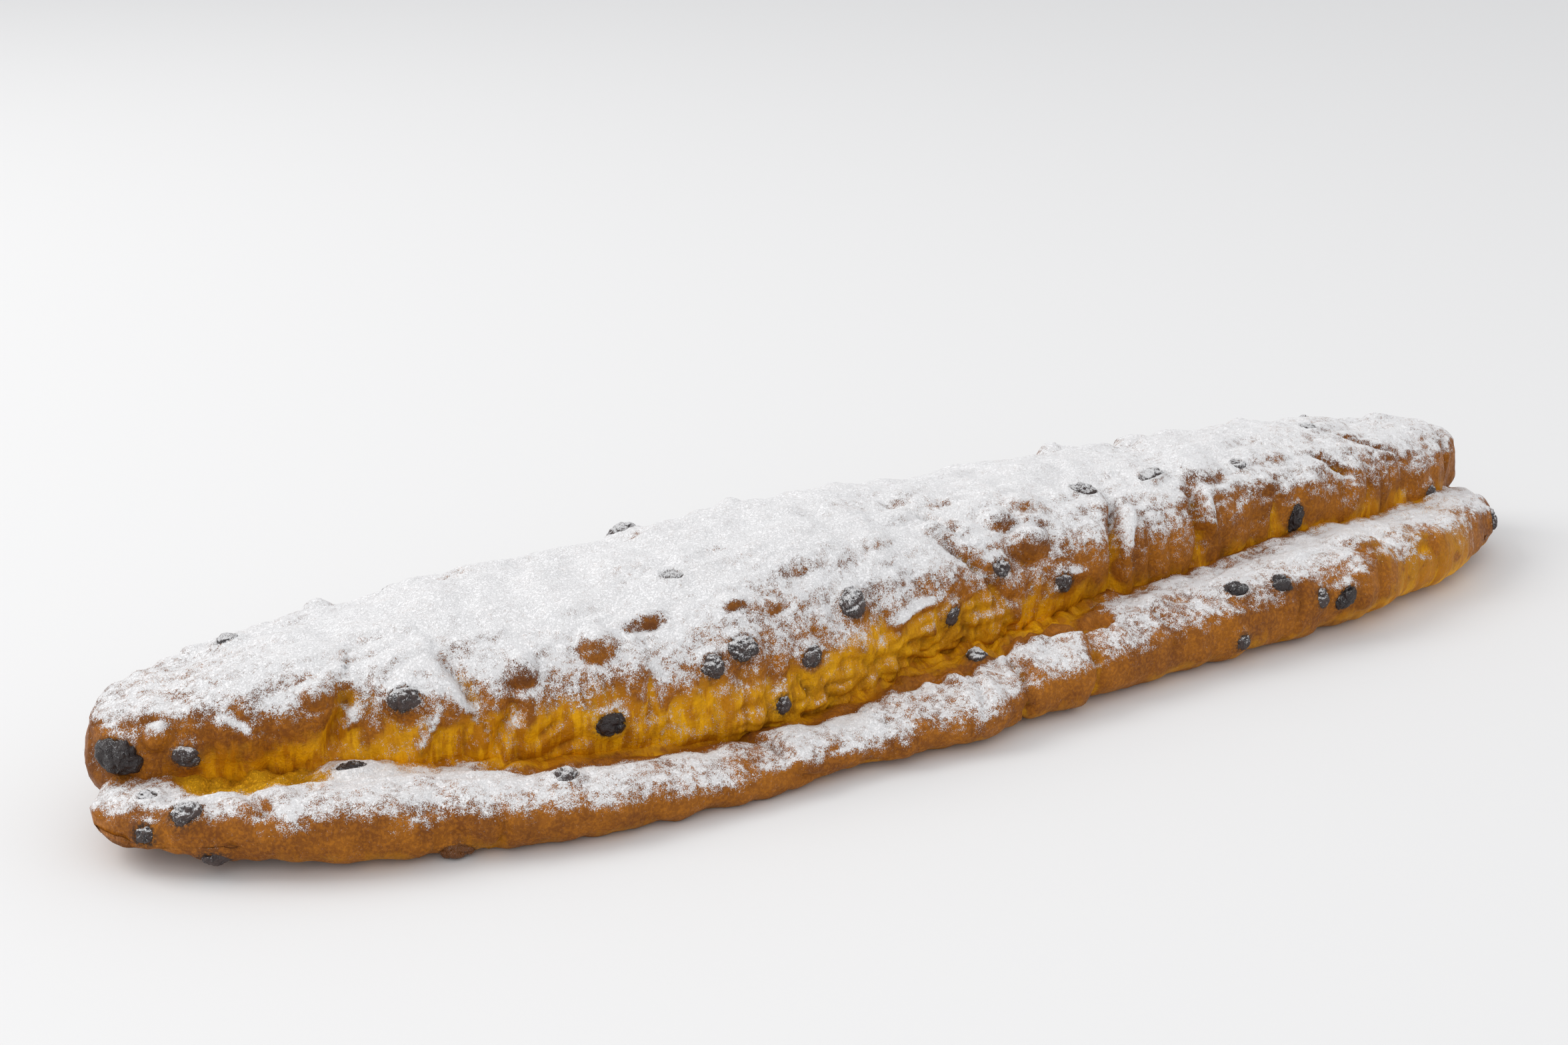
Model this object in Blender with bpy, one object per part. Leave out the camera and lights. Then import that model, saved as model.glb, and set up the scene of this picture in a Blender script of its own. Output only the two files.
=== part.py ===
"""A long stollen: sweet dough folded over itself and baked, with raisins in its crust.

Frame: metres, +Z up. The origin is the centre of the loaf's footprint, on the surface it lies on.
+X runs along the loaf, and -Y is the front, where the lower layer of dough stands out as a lip.

The loaf is one solid: the lower layer and the fold that lies on it, joined. Each raisin is a
piece of its own, in a pocket that is a little larger than it is.
"""

from math import atan2, cos, pi, radians, sin

import bmesh
import bpy
from mathutils import Matrix, Vector, noise

# The two layers along X: where each has its middle, and how far it reaches each way
LAYER_MIDDLE, LAYER_HALF = -0.001, 0.353
FOLD_MIDDLE, FOLD_HALF = 0.003, 0.351

# Sizes at nine even stations along the loaf, from its left end to its right end.
# A reach is how far the dough stands out from the centre line, to the front or to the back.
STATIONS = 9
LIP_REACH = (0.076, 0.088, 0.094, 0.096, 0.092, 0.085, 0.080, 0.073, 0.062)
LIP_HEIGHT = (0.032, 0.031, 0.024, 0.020, 0.027, 0.033, 0.037, 0.038, 0.034)
CREASE_REACH = (0.034, 0.043, 0.059, 0.063, 0.044, 0.038, 0.031, 0.025, 0.022)
CREASE_HEIGHT = (0.030, 0.026, 0.017, 0.014, 0.023, 0.030, 0.034, 0.034, 0.031)
CREST_HEIGHT = (0.064, 0.069, 0.073, 0.077, 0.075, 0.073, 0.071, 0.072, 0.079)
BACK_REACH = (0.060, 0.064, 0.067, 0.068, 0.068, 0.067, 0.065, 0.062, 0.060)

# The layers' cross-sections
CENTRE_LINE = 0.010  # Y of the line that the reaches are measured from
LIP_CREST = 0.015  # the lip is highest this far behind its front edge,
LIP_SINK = 0.004  # and has sunk this far where it meets the crease
FOLD_OVERHANG = 0.003  # the fold's face stands out this far over the crease,
FOLD_BELLY = 0.012  # this high above it
BACK_INSET = 0.012  # the lower layer's back edge lies this far inside the fold
SETTLED = 0.003  # how much of the round underside has flattened against the tin
END_POWER = 4.4  # how blunt the ends are in plan and over the fold's crest,
UNDERSIDE_POWER = 4.8  # where the lower layer curves up from the tin,
SEAM_POWER = 30.0  # and where the layers lie on each other and close the seam
LAYER_SQUARE = (0.42, 0.85)  # below 1, a section is squarer than an ellipse: across, and upwards
FOLD_SQUARE = (0.80, 0.85)

# Unevenness of the baked dough, and the gathers across its front
BULGE_DEPTH, BULGE_LENGTH = 0.0045, 0.060
RIPPLE_DEPTH, RIPPLE_LENGTH = 0.0022, 0.020

# Meshes: points along a layer and around it, and the gap that a raisin keeps to the dough
LAYER_RINGS, LAYER_SIDES = 42, 18
FOLD_RINGS, FOLD_SIDES = 46, 20
POCKET_GAP = 0.0004

# A raisin's thickness as a share of its width, and how unevenly it has shrunk
RAISIN_FLATNESS = 0.8
RAISIN_WRINKLE = 0.10

# Raisins: the layer they sit in, place along X, angle round the layer from its front edge
# upwards, length, width, turn of the length away from X, and the share that stands out
RAISINS = (
    ("fold", -0.342, -11, 0.0180, 0.0140, 15, 0.60),
    ("fold", -0.321, -6, 0.0100, 0.0090, 0, 0.50),
    ("fold", -0.243, 24, 0.0125, 0.0100, 20, 0.45),
    ("fold", -0.168, 2, 0.0120, 0.0090, 10, 0.50),
    ("fold", -0.124, 72, 0.0140, 0.0100, -25, 0.30),
    ("fold", -0.125, 22, 0.0100, 0.0090, 70, 0.55),
    ("fold", -0.111, 27, 0.0115, 0.0105, 0, 0.60),
    ("fold", -0.095, 0, 0.0085, 0.0080, 40, 0.40),
    ("fold", -0.079, 14, 0.0095, 0.0085, 30, 0.55),
    ("fold", -0.053, 32, 0.0130, 0.0115, 60, 0.60),
    ("fold", -0.002, 4, 0.0100, 0.0080, 50, 0.40),
    ("fold", 0.026, 22, 0.0105, 0.0085, 0, 0.40),
    ("fold", 0.059, 2, 0.0105, 0.0090, -20, 0.40),
    ("fold", 0.091, 66, 0.0145, 0.0110, -30, 0.40),
    ("fold", 0.131, 67, 0.0190, 0.0085, 15, 0.35),
    ("fold", 0.181, 60, 0.0090, 0.0080, 0, 0.35),
    ("fold", 0.207, -4, 0.0150, 0.0085, 80, 0.60),
    ("fold", 0.248, 86, 0.0105, 0.0080, -10, 0.45),
    ("fold", 0.308, -8, 0.0090, 0.0075, 20, 0.50),
    ("fold", -0.118, 116, 0.0145, 0.0095, 10, 0.55),
    ("fold", -0.292, 110, 0.0100, 0.0080, -15, 0.50),
    ("fold", -0.215, 152, 0.0120, 0.0095, 25, 0.50),
    ("fold", -0.060, 165, 0.0110, 0.0090, 60, 0.50),
    ("fold", 0.072, 148, 0.0130, 0.0100, -20, 0.55),
    ("fold", 0.190, 170, 0.0105, 0.0085, 35, 0.45),
    ("fold", 0.278, 146, 0.0115, 0.0090, 0, 0.55),
    ("lower", -0.328, 50, 0.0120, 0.0095, 15, 0.50),
    ("lower", -0.342, 20, 0.0090, 0.0080, 0, 0.45),
    ("lower", -0.321, -30, 0.0125, 0.0080, 0, 0.40),
    ("lower", -0.338, 82, 0.0085, 0.0075, 0, 0.45),
    ("lower", -0.266, 84, 0.0150, 0.0085, 10, 0.35),
    ("lower", -0.239, -31, 0.0130, 0.0080, 5, 0.65),
    ("lower", -0.195, 52, 0.0100, 0.0085, 10, 0.50),
    ("lower", 0.001, 72, 0.0100, 0.0090, 70, 0.60),
    ("lower", 0.137, 52, 0.0120, 0.0095, -15, 0.45),
    ("lower", 0.163, 42, 0.0095, 0.0090, 0, 0.50),
    ("lower", 0.182, 12, 0.0095, 0.0070, 80, 0.50),
    ("lower", 0.196, 6, 0.0120, 0.0080, 40, 0.55),
    ("lower", 0.132, -8, 0.0080, 0.0070, 30, 0.45),
    ("lower", 0.334, 22, 0.0110, 0.0070, 75, 0.65),
)


def along(values, x):
    """A size at x, on a smooth curve through its values at the stations."""
    place = (x / LAYER_HALF + 1) / 2 * (STATIONS - 1)
    place = min(max(place, 0.0), STATIONS - 1.0)
    left = min(int(place), STATIONS - 2)
    share = place - left
    p0, p1 = values[max(left - 1, 0)], values[left]
    p2, p3 = values[left + 1], values[min(left + 2, STATIONS - 1)]
    slope = (p2 - p0) * share
    bend = (2 * p0 - 5 * p1 + 4 * p2 - p3) * share**2
    twist = (3 * p1 - p0 - 3 * p2 + p3) * share**3
    return p1 + 0.5 * (slope + bend + twist)


def squared(value, power):
    """A sine or cosine pushed towards the corners of its box by a power below 1."""
    return abs(value) ** power * (1 if value >= 0 else -1)


def smooth_step(value, low, high):
    share = min(max((value - low) / (high - low), 0.0), 1.0)
    return share * share * (3 - 2 * share)


def end_round(share, power=END_POWER):
    """1 along most of a layer, falling to 0 at its ends. share runs from -1 to 1."""
    return max(0.0, 1 - abs(share) ** power) ** 0.5


def uneven(point, seed):
    """How far the dough swells or sinks at a point: broad bulges, and ripples across the loaf."""
    offset = Vector((seed, 0, 0))
    bulge = noise.noise(point / BULGE_LENGTH + offset)
    stretched = Vector((point.x, point.y * 0.35, point.z * 0.35))
    ripple = noise.noise(stretched / RIPPLE_LENGTH + offset * 3)
    return BULGE_DEPTH * bulge + RIPPLE_DEPTH * ripple


def swollen(x, middle, across, up, seed):
    """The point across and up from the section's middle, moved outwards by the unevenness."""
    point = Vector((x, middle[0] + across, middle[1] + up))
    outwards = Vector((0, across, up))
    if outwards.length < 0.001:
        return point
    fade = min(outwards.length / 0.02, 1.0)
    return point + outwards.normalized() * uneven(point, seed) * fade


def lower_point(share, angle):
    """A point of the lower layer: angle 0 is its front edge, and 90 degrees its top."""
    x = LAYER_MIDDLE + LAYER_HALF * share
    closing = end_round(share)
    front = CENTRE_LINE - along(LIP_REACH, x)
    back = CENTRE_LINE + along(BACK_REACH, x) - BACK_INSET
    half_height = (along(LIP_HEIGHT, x) + SETTLED) / 2
    middle = ((front + back) / 2, half_height - SETTLED)
    across = -(back - front) / 2 * closing * squared(cos(angle), LAYER_SQUARE[0])
    up = half_height * squared(sin(angle), LAYER_SQUARE[1])
    if up > 0:
        depth = middle[0] + across - front
        up -= LIP_SINK * smooth_step(depth, LIP_CREST, along(LIP_REACH, x) - along(CREASE_REACH, x))
    up *= end_round(share, SEAM_POWER if up > 0 else UNDERSIDE_POWER)
    return swollen(x, middle, across, up, 11.3)


def fold_point(share, angle):
    """A point of the fold: angle 0 is its belly over the crease, and 90 degrees its crest."""
    x = FOLD_MIDDLE + FOLD_HALF * share
    closing = end_round(share)
    front = CENTRE_LINE - along(CREASE_REACH, x) - FOLD_OVERHANG
    back = CENTRE_LINE + along(BACK_REACH, x)
    belly = along(CREASE_HEIGHT, x) + FOLD_BELLY
    across = -(back - front) / 2 * closing * squared(cos(angle), FOLD_SQUARE[0])
    if sin(angle) > 0:
        reach = (along(CREST_HEIGHT, x) - belly) * closing
    else:
        reach = (belly + SETTLED) * end_round(share, SEAM_POWER)
    up = reach * squared(sin(angle), FOLD_SQUARE[1])
    return swollen(x, ((front + back) / 2, belly), across, up, 4.7)


LAYER_POINTS = {"lower": lower_point, "fold": fold_point}
LAYER_SPANS = {"lower": (LAYER_MIDDLE, LAYER_HALF), "fold": (FOLD_MIDDLE, FOLD_HALF)}


def make_material(name, color, roughness):
    material = bpy.data.materials.new(name)
    material.use_nodes = True
    shader = material.node_tree.nodes["Principled BSDF"]
    shader.inputs["Base Color"].default_value = (*color, 1)
    shader.inputs["Roughness"].default_value = roughness
    return material


def clear_scene():
    for obj in list(bpy.data.objects):
        bpy.data.objects.remove(obj)


def add_object(name, bm, collection, material=None):
    """A smooth-shaded object with the mesh bm."""
    mesh = bpy.data.meshes.new(name)
    bm.to_mesh(mesh)
    bm.free()
    mesh.shade_smooth()
    if material:
        mesh.materials.append(material)
    obj = bpy.data.objects.new(name, mesh)
    collection.objects.link(obj)
    return obj


def make_layer(name, rings, sides, collection, material=None):
    """A layer of dough: a sphere with its poles on X, each point moved to its place on the layer."""
    place = LAYER_POINTS[name]
    bm = bmesh.new()
    poles_on_x = Matrix.Rotation(pi / 2, 4, "Y")
    bmesh.ops.create_uvsphere(bm, u_segments=sides, v_segments=rings, radius=1, matrix=poles_on_x)
    for vertex in bm.verts:
        x, y, z = vertex.co
        vertex.co = place(x, atan2(z, -y))
    # Triangles are flat, which the Booleans need.
    bmesh.ops.triangulate(bm, faces=bm.faces)
    bmesh.ops.recalc_face_normals(bm, faces=bm.faces)
    return add_object(name, bm, collection, material)


def surface_frame(layer, x, angle):
    """The point of a layer at x and an angle, and a matrix with its Z out of the dough there."""
    middle, half = LAYER_SPANS[layer]
    place = LAYER_POINTS[layer]
    share = (x - middle) / half
    point = place(share, angle)
    lengthwise = (place(share + 0.01, angle) - place(share - 0.01, angle)).normalized()
    around = place(share, angle + 0.05) - place(share, angle - 0.05)
    outwards = lengthwise.cross(around).normalized()
    if outwards.dot(Vector((0, -cos(angle), sin(angle)))) < 0:
        outwards.negate()
    sideways = outwards.cross(lengthwise).normalized()
    return point, Matrix((lengthwise, sideways, outwards)).transposed().to_4x4()


def make_raisin(index, row, collection, material, pockets):
    """One raisin, wrinkled by noise, and its pocket, POCKET_GAP larger all round."""
    layer, x, angle, length, width, turn, showing = row
    point, axes = surface_frame(layer, x, radians(angle))
    thickness = RAISIN_FLATNESS * width
    lifted = Matrix.Translation((0, 0, (showing - 0.5) * thickness))
    placed = Matrix.Translation(point) @ axes @ lifted @ Matrix.Rotation(radians(turn), 4, "Z")
    for grown in (0.0, POCKET_GAP):
        bm = bmesh.new()
        bmesh.ops.create_icosphere(bm, subdivisions=2, radius=1)
        for vertex in bm.verts:
            wrinkle = 1 + RAISIN_WRINKLE * noise.noise(vertex.co * 1.7 + Vector((7.0 * index, 0, 0)))
            size = Vector((length, width, thickness)) * wrinkle / 2 + Vector((grown, grown, grown))
            vertex.co = placed @ Vector(a * b for a, b in zip(vertex.co, size))
        if grown:
            pocket = add_object(f"pocket_{index:02d}", bm, pockets)
        else:
            add_object(f"raisin_{index:02d}", bm, collection, material)
    return pocket


def add_boolean(obj, name, operation, cutter):
    modifier = obj.modifiers.new(name, "BOOLEAN")
    modifier.operation = operation
    modifier.solver = "EXACT"
    modifier.object = cutter


def main():
    clear_scene()
    stollen = bpy.data.collections.new("stollen")
    cutters = bpy.data.collections.new("cutters")
    bpy.context.scene.collection.children.link(stollen)
    bpy.context.scene.collection.children.link(cutters)
    crust = make_material("sugared_crust", (0.42, 0.25, 0.11), 0.65)
    raisin_skin = make_material("raisin_skin", (0.035, 0.020, 0.018), 0.35)

    loaf = make_layer("lower", LAYER_RINGS, LAYER_SIDES, stollen, crust)
    loaf.name = "loaf"
    fold = make_layer("fold", FOLD_RINGS, FOLD_SIDES, cutters)
    add_boolean(loaf, "fold laid on top", "UNION", fold)

    bm = bmesh.new()
    below = Matrix.Translation((0, 0, -0.05)) @ Matrix.Diagonal((1, 0.4, 0.1, 1))
    bmesh.ops.create_cube(bm, size=1, matrix=below)
    add_boolean(loaf, "flat underside", "DIFFERENCE", add_object("tin", bm, cutters))

    for index, row in enumerate(RAISINS, 1):
        pocket = make_raisin(index, row, stollen, raisin_skin, cutters)
        add_boolean(loaf, pocket.name, "DIFFERENCE", pocket)

    for cutter in cutters.objects:
        cutter.hide_render = True
        cutter.display_type = "WIRE"


main()
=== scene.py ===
from math import pi, radians

import bmesh
import bpy
import numpy as np
from mathutils import Matrix, Vector, noise
from mathutils.bvhtree import BVHTree


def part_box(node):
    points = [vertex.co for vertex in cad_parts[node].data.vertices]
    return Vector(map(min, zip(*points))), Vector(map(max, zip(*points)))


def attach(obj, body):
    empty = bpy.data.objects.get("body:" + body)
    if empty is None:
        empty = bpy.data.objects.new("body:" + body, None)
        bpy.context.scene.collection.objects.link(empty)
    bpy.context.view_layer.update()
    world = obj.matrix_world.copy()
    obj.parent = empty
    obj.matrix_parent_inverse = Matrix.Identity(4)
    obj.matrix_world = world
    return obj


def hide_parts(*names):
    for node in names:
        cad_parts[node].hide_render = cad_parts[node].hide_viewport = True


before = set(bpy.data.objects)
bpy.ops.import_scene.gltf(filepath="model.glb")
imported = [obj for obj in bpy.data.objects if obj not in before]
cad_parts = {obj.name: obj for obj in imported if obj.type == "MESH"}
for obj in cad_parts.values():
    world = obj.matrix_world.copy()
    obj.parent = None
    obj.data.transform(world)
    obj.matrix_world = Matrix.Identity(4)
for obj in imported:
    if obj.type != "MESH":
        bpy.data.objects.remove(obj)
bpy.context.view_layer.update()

# ---------------------------------------------------------------- the shaped dough
# A sheet of rich yeast dough, rolled out and folded over itself: the lower layer stands out
# at the front as a lip, and the fold lies on it. Both layers close in a round at each end.
LOAF_LOW, LOAF_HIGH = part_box("loaf")
LAYER_HALF = (LOAF_HIGH[0] - LOAF_LOW[0]) / 2
LAYER_MIDDLE = -0.001
FOLD_HALF, FOLD_MIDDLE = LAYER_HALF - 0.002, LAYER_MIDDLE + 0.004

STATIONS = 9  # LIP_REACH to BACK_REACH hold at this many even stations along the loaf
LIP_REACH = (0.076, 0.088, 0.094, 0.096, 0.092, 0.085, 0.080, 0.073, 0.062)
LIP_HEIGHT = (0.032, 0.031, 0.024, 0.020, 0.027, 0.033, 0.037, 0.038, 0.034)
CREASE_REACH = (0.034, 0.043, 0.059, 0.063, 0.044, 0.038, 0.031, 0.025, 0.022)
CREASE_HEIGHT = (0.030, 0.026, 0.017, 0.014, 0.023, 0.030, 0.034, 0.034, 0.031)
CREST_HEIGHT = (0.064, 0.069, 0.073, 0.077, 0.075, 0.073, 0.071, 0.072, 0.079)
BACK_REACH = (0.060, 0.064, 0.067, 0.068, 0.068, 0.067, 0.065, 0.062, 0.060)
CENTRE_LINE = 0.010
LIP_CREST, LIP_SINK = 0.015, 0.004
FOLD_OVERHANG, FOLD_BELLY = 0.003, 0.012
BACK_INSET = 0.012
SETTLED = 0.003
END_POWER, UNDERSIDE_POWER, SEAM_POWER = 4.4, 4.8, 30.0
BULGE_DEPTH, BULGE_LENGTH = 0.0045, 0.060
RIPPLE_DEPTH, RIPPLE_LENGTH = 0.0022, 0.020
END_CROWDING = 0.35
WELD = 0.00001


def along(values, x):
    """The sizes at each x, on a smooth curve through the values at the stations."""
    values = np.array(values)
    place = np.clip((x / LAYER_HALF + 1) / 2 * (STATIONS - 1), 0, STATIONS - 1)
    left = np.minimum(place.astype(int), STATIONS - 2)
    share = place - left
    p0, p1 = values[np.maximum(left - 1, 0)], values[left]
    p2, p3 = values[left + 1], values[np.minimum(left + 2, STATIONS - 1)]
    slope = (p2 - p0) * share
    bend = (2 * p0 - 5 * p1 + 4 * p2 - p3) * share**2
    twist = (3 * p1 - p0 - 3 * p2 + p3) * share**3
    return p1 + 0.5 * (slope + bend + twist)


def squared(value, power):
    return np.abs(value) ** power * np.where(value >= 0, 1, -1)


def smooth_step(value, low, high):
    share = np.clip((value - low) / (high - low), 0, 1)
    return share * share * (3 - 2 * share)


def noise_at(points, length, seed=0.0, stretch=(1, 1, 1)):
    """Smooth noise from -1 to 1 at each point, with waves of a length, in metres."""
    scaled = points / (np.array(stretch) * length) + seed
    return np.array([noise.noise(point) for point in scaled.tolist()])


def ridges_at(points, length, seed=0.0, stretch=(1, 1, 1)):
    """Noise from 0 to 1 with round hills and sharp valleys between them."""
    return np.clip(np.abs(noise_at(points, length, seed, stretch)) * 2, 0, 1)


def swollen(x, middle, across, up, seed):
    """Points across and up from the section's middle, moved outwards by the dough's bulges."""
    points = np.stack([x, middle[0] + across, middle[1] + up], axis=1)
    outwards = np.stack([np.zeros_like(x), across, up], axis=1)
    length = np.linalg.norm(outwards, axis=1)
    bulge = BULGE_DEPTH * noise_at(points + np.array((seed, 0, 0)) * BULGE_LENGTH, BULGE_LENGTH)
    shifted = points + np.array((seed * 3, 0, 0)) * RIPPLE_LENGTH
    ripple = RIPPLE_DEPTH * noise_at(shifted, RIPPLE_LENGTH, 0, (1, 1 / 0.35, 1 / 0.35))
    growth = (bulge + ripple) * np.minimum(length / 0.02, 1) / np.maximum(length, 1e-9)
    return points + outwards * growth[:, None]


def end_round(share, power=END_POWER):
    """1 along most of a layer, falling to 0 at its ends."""
    return np.sqrt(np.clip(1 - np.abs(share) ** power, 0, 1))


def lower_place(share, angle):
    """The lower layer: angle 0 is its front edge, and 90 degrees its top."""
    x = LAYER_MIDDLE + LAYER_HALF * share
    closing = end_round(share)
    front = CENTRE_LINE - along(LIP_REACH, x)
    back = CENTRE_LINE + along(BACK_REACH, x) - BACK_INSET
    half_height = (along(LIP_HEIGHT, x) + SETTLED) / 2
    middle = ((front + back) / 2, half_height - SETTLED)
    across = -(back - front) / 2 * closing * squared(np.cos(angle), 0.42)
    up = half_height * squared(np.sin(angle), 0.85)
    sunk = LIP_SINK * smooth_step(
        middle[0] + across - front, LIP_CREST, along(LIP_REACH, x) - along(CREASE_REACH, x))
    above = (up - sunk) * end_round(share, SEAM_POWER)
    up = np.where(up > 0, above, up * end_round(share, UNDERSIDE_POWER))
    return swollen(x, middle, across, up, 11.3)


def fold_place(share, angle):
    """The fold: angle 0 is its belly over the crease, and 90 degrees its crest."""
    x = FOLD_MIDDLE + FOLD_HALF * share
    closing = end_round(share)
    front = CENTRE_LINE - along(CREASE_REACH, x) - FOLD_OVERHANG
    back = CENTRE_LINE + along(BACK_REACH, x)
    belly = along(CREASE_HEIGHT, x) + FOLD_BELLY
    across = -(back - front) / 2 * closing * squared(np.cos(angle), 0.80)
    above = (along(CREST_HEIGHT, x) - belly) * closing
    below = (belly + SETTLED) * end_round(share, SEAM_POWER)
    up = np.where(np.sin(angle) > 0, above, below) * squared(np.sin(angle), 0.85)
    return swollen(x, ((front + back) / 2, belly), across, up, 4.7)


# Where the points of a layer lie round its section: (share of the points, angle in degrees)
FOLD_SPREAD = ((0, -90), (0.05, -35), (0.10, -20), (0.30, 20), (0.62, 90), (0.90, 170), (0.96, 200), (1, 270))
LOWER_SPREAD = ((0, -90), (0.10, -45), (0.40, 40), (0.64, 72), (0.88, 86), (0.92, 92), (0.97, 200), (1, 270))


def layer_mesh(rings, sides, place, middle, half, spread):
    """A sphere with its poles on X, each point moved to its place on the layer."""
    bm = bmesh.new()
    poles_on_x = Matrix.Rotation(pi / 2, 4, "Y")
    bmesh.ops.create_uvsphere(bm, u_segments=sides, v_segments=rings, radius=1, matrix=poles_on_x)
    ball = np.array([vertex.co for vertex in bm.verts])
    even = np.arcsin(np.clip(ball[:, 0], -1, 1)) / (pi / 2)
    share = (1 - END_CROWDING) * even + END_CROWDING * np.sin(even * pi / 2)
    turn = (np.degrees(np.arctan2(ball[:, 2], -ball[:, 1])) + 90) % 360 / 360
    angle = np.radians(np.interp(turn, *zip(*spread)))
    points = place(share, angle)
    for vertex, point in zip(bm.verts, points.tolist()):
        vertex.co = point
    bmesh.ops.recalc_face_normals(bm, faces=bm.faces)
    bm.normal_update()
    normals = np.array([vertex.normal for vertex in bm.verts])
    return bm, points, normals, middle + half * share, np.degrees(angle)


def move_points(bm, points):
    """Sets the mesh's points, and gives back its new normals."""
    for vertex, point in zip(bm.verts, points.tolist()):
        vertex.co = point
    bm.normal_update()
    return np.array([vertex.normal for vertex in bm.verts])


def spot(place, middle, half, x, angle):
    """A point on a layer, at x and an angle in degrees."""
    return place(np.array([(x - middle) / half]), np.radians([angle]))[0]


def wrinkle(points, normals, route, width, depth, step=0.0):
    """A crease along a route of points: its depth, and how far the dough on its one side stands up."""
    nearest = np.full(len(points), 1.0)
    side = np.zeros(len(points))
    for start, end in zip(route, route[1:]):
        run = end - start
        share = np.clip(((points - start) @ run) / (run @ run), 0, 1)
        offset = points - start - share[:, None] * run
        distance = np.linalg.norm(offset, axis=1)
        closer = distance < nearest
        nearest = np.where(closer, distance, nearest)
        turn = np.einsum("ij,ij->i", np.cross(run, offset), normals)
        side = np.where(closer, np.sign(turn), side)
    ends = np.minimum(
        np.linalg.norm(points - route[0], axis=1), np.linalg.norm(points - route[-1], axis=1))
    fade = smooth_step(ends, 0, 3 * width)
    groove = -depth * np.exp(-((nearest / width) ** 2)) * (0.35 + 0.65 * fade)
    ledge = step * (side > 0) * np.exp(-nearest / (3.5 * width)) * smooth_step(nearest, 0, width) * fade
    return groove + ledge


def dome(points, centre, radius, height, stretch=1.0):
    """A round blister, or a dimple where the height is below 0, stretched along the loaf."""
    offset = (points - centre) / np.array((stretch, 1, 1))
    share = np.clip(np.linalg.norm(offset, axis=1) / radius, 0, 1.6)
    swelling = np.where(share < 1, (1 - share**2) ** 1.2, 0)
    sunk_rim = 0.14 * np.exp(-(((share - 1.1) / 0.22) ** 2))
    return height * (swelling - sunk_rim)


def neighbour_mean(bm, values):
    """For each point, the mean of a value or a vector over the points that share an edge with it."""
    bm.verts.index_update()
    ends = np.array([(edge.verts[0].index, edge.verts[1].index) for edge in bm.edges])
    total, count = np.zeros_like(values), np.zeros(len(values))
    for near, far in (ends.T, ends.T[::-1]):
        np.add.at(total, near, values[far])
        np.add.at(count, near, 1)
    return (total.T / count).T


# The raisins, as they are packed, so that the dough can close round them
raisin_names = sorted(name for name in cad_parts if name.startswith("raisin"))
raisin_bms = {}
for name in raisin_names:
    bm = bmesh.new()
    bm.from_mesh(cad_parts[name].data)
    bmesh.ops.remove_doubles(bm, verts=bm.verts, dist=WELD)
    raisin_bms[name] = bm


RAISIN_REACH = 0.018
OUT_OF_REACH = 0.02


def away_from_raisins(points):
    """How far each point of the dough lies from the nearest raisin's skin, below 0 inside it."""
    away = np.full(len(points), OUT_OF_REACH)
    for bm in raisin_bms.values():
        skin = BVHTree.FromBMesh(bm)
        centre = np.mean([vertex.co for vertex in bm.verts], axis=0)
        for index in np.nonzero(np.linalg.norm(points - centre, axis=1) < RAISIN_REACH)[0]:
            point = Vector(points[index])
            place, way, _, distance = skin.find_nearest(point)
            if (point - place).dot(way) < 0:
                distance = -distance
            away[index] = min(away[index], distance)
    return away


FULL_LEVEL, FULL_SPREAD = 0.024, 0.012
FULL_FROM, FULL_TO = 0.318, 0.352


def full_end(points, away, fullness):
    """The left end swells out to the left, round the end of the crease."""
    level = np.exp(-(((points[:, 2] - FULL_LEVEL) / FULL_SPREAD) ** 2))
    by_end = smooth_step(-points[:, 0], FULL_FROM, FULL_TO)
    out = fullness * level * by_end * smooth_step(away, 0, 0.006)
    return points - out[:, None] * np.array((1, 0, 0))


RIM_HEIGHT, RIM_PLACE, RIM_WIDTH = 0.0012, 0.0004, 0.0016
DITCH_DEPTH, DITCH_PLACE, DITCH_WIDTH = 0.0005, 0.0048, 0.0020
CALMED_SHARE, CALMED_REACH = 0.85, 0.0035


def collar(away):
    """The rim of dough that stands up against a raisin and laps its edge, and a ditch round it."""
    rim = RIM_HEIGHT * np.exp(-(((away - RIM_PLACE) / RIM_WIDTH) ** 2))
    return rim - DITCH_DEPTH * np.exp(-(((away - DITCH_PLACE) / DITCH_WIDTH) ** 2))


def calmed(relief, away):
    """The relief, flattened beside the raisins, so that each shows as far as it is packed."""
    return relief * (1 - CALMED_SHARE * np.exp(-np.clip(away, 0, 1) / CALMED_REACH)) + collar(away)


# ---------------------------------------------------------------- the fold
# The upper layer of dough. Its skin is blistered over buried raisins, gathered into folds
# across the loaf's front, torn in a few cracks near the right end, and stretched smooth and
# yellow just above the crease, where it rose last in the oven.
FOLD_RINGS, FOLD_SIDES = 440, 222
FOLD_PIMPLES = 90
FOLD_FULLNESS = 0.0060

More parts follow.
